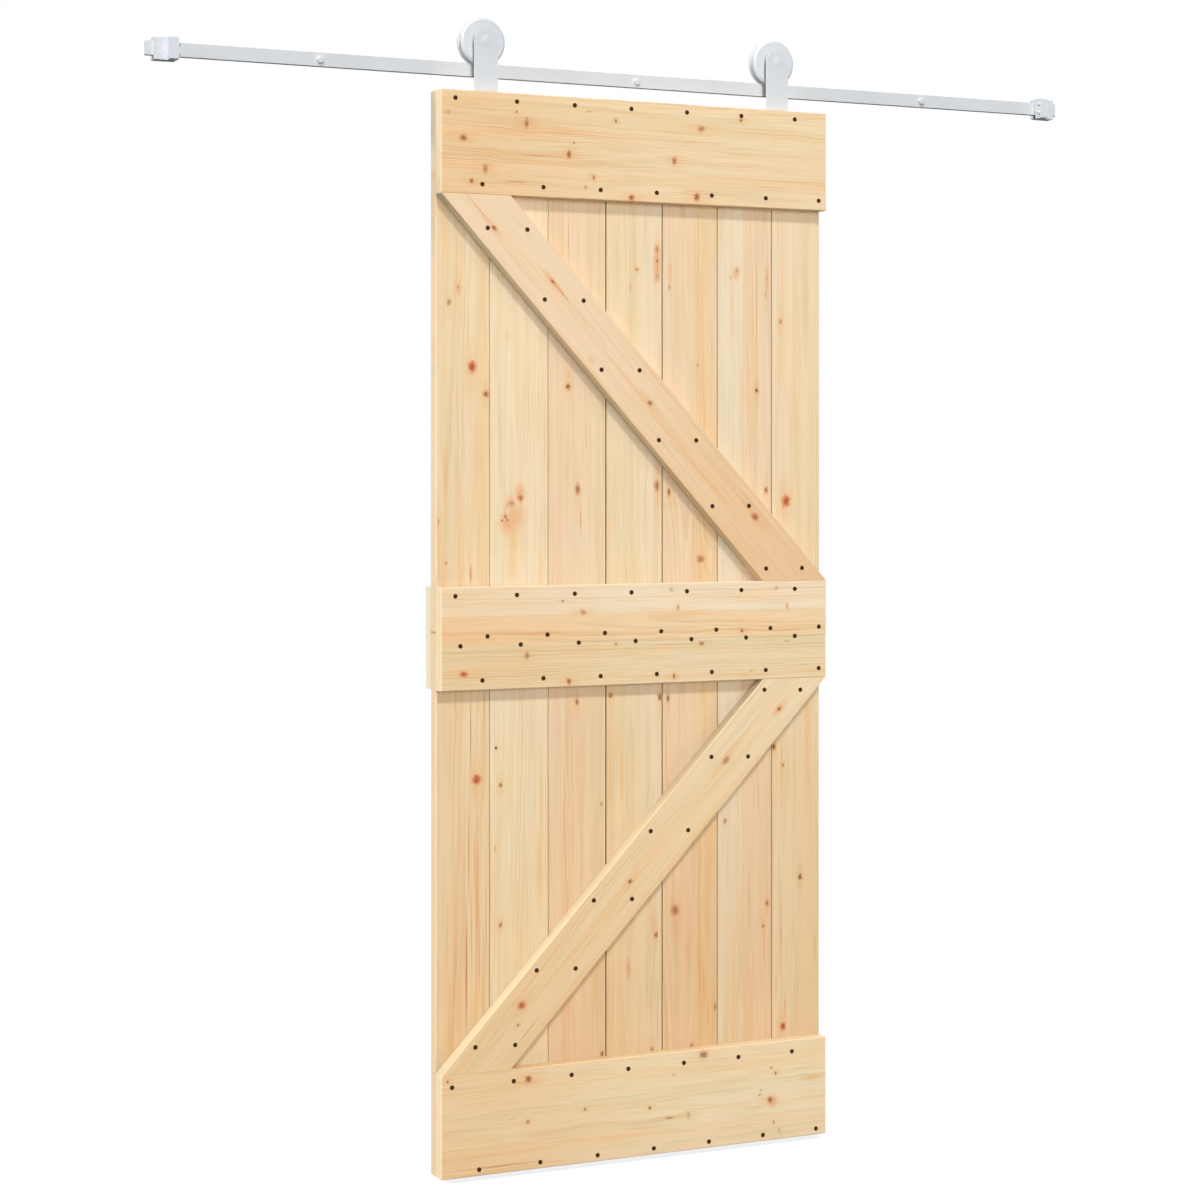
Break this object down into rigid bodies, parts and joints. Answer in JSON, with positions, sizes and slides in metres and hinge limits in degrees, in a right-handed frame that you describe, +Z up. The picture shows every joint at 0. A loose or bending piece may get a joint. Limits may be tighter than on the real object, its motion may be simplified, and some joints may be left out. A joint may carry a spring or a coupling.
{
  "type": "sliding barn door",
  "caption": "Braced pine plank door leaf hung by strap hangers and grooved wheels from a flat wall rail with clamped end stops; it rolls sideways across an opening.",
  "frame": {"origin": "on the wall, at the centre of the wall face of the middle spacer, on the axis of its bolt", "axes": "+X along the rail, to the right seen from the room; +Y into the wall; +Z up"},
  "size_m": [2.016, 0.092, 2.2483],
  "materials": {
    "pine_planks": "raw sanded pine",
    "pine_ledges": "raw sanded pine",
    "pine_braces": "raw sanded pine",
    "painted_steel": "satin white paint",
    "painted_wheel": "satin white",
    "bumper": "matt white",
    "screws": "blackened steel"
  },
  "bodies": {
    "track": {"rail": "painted_steel", "wall_spacer_left": "painted_steel", "wall_spacer_centre": "painted_steel", "wall_spacer_right": "painted_steel", "stop_clamp_left": "painted_steel", "stop_clamp_right": "painted_steel", "stop_bumper_left": "bumper", "stop_bumper_right": "bumper"},
    "door": {"plank_1": "pine_planks", "plank_2": "pine_planks", "plank_3": "pine_planks", "plank_4": "pine_planks", "plank_5": "pine_planks", "plank_6": "pine_planks", "plank_7": "pine_planks", "top_ledge": "pine_ledges", "middle_ledge": "pine_ledges", "bottom_ledge": "pine_ledges", "back_ledge": "pine_ledges", "upper_brace": "pine_braces", "lower_brace": "pine_braces", "hanger_left": "painted_steel", "hanger_right": "painted_steel", "axle_left": "painted_steel", "axle_right": "painted_steel", "axle_sleeve_left": "painted_steel", "axle_sleeve_right": "painted_steel", "axle_nut_left": "painted_steel", "axle_nut_right": "painted_steel"},
    "wheel_left": {"wheel_left": "painted_wheel"},
    "wheel_right": {"wheel_right": "painted_wheel"}
  },
  "joints": [
    {"name": "door_slide", "type": "slide", "parent": "track", "child": "door", "axis": [1, 0, 0], "range_m": [-0.576, 0.612]},
    {"name": "wheel_left_spin", "type": "hinge", "parent": "door", "child": "wheel_left", "pos_m": [-0.3375, -0.043, 0.0555], "axis": [0, 1, 0], "range_deg": [-795, 845]},
    {"name": "wheel_right_spin", "type": "hinge", "parent": "door", "child": "wheel_right", "pos_m": [0.3075, -0.043, 0.0555], "axis": [0, 1, 0], "range_deg": [-795, 845]}
  ],
  "couplings": [
    {"joint": "wheel_left_spin", "follows": "door_slide", "rad_per_m": 23.809},
    {"joint": "wheel_right_spin", "follows": "door_slide", "rad_per_m": 23.809}
  ]
}
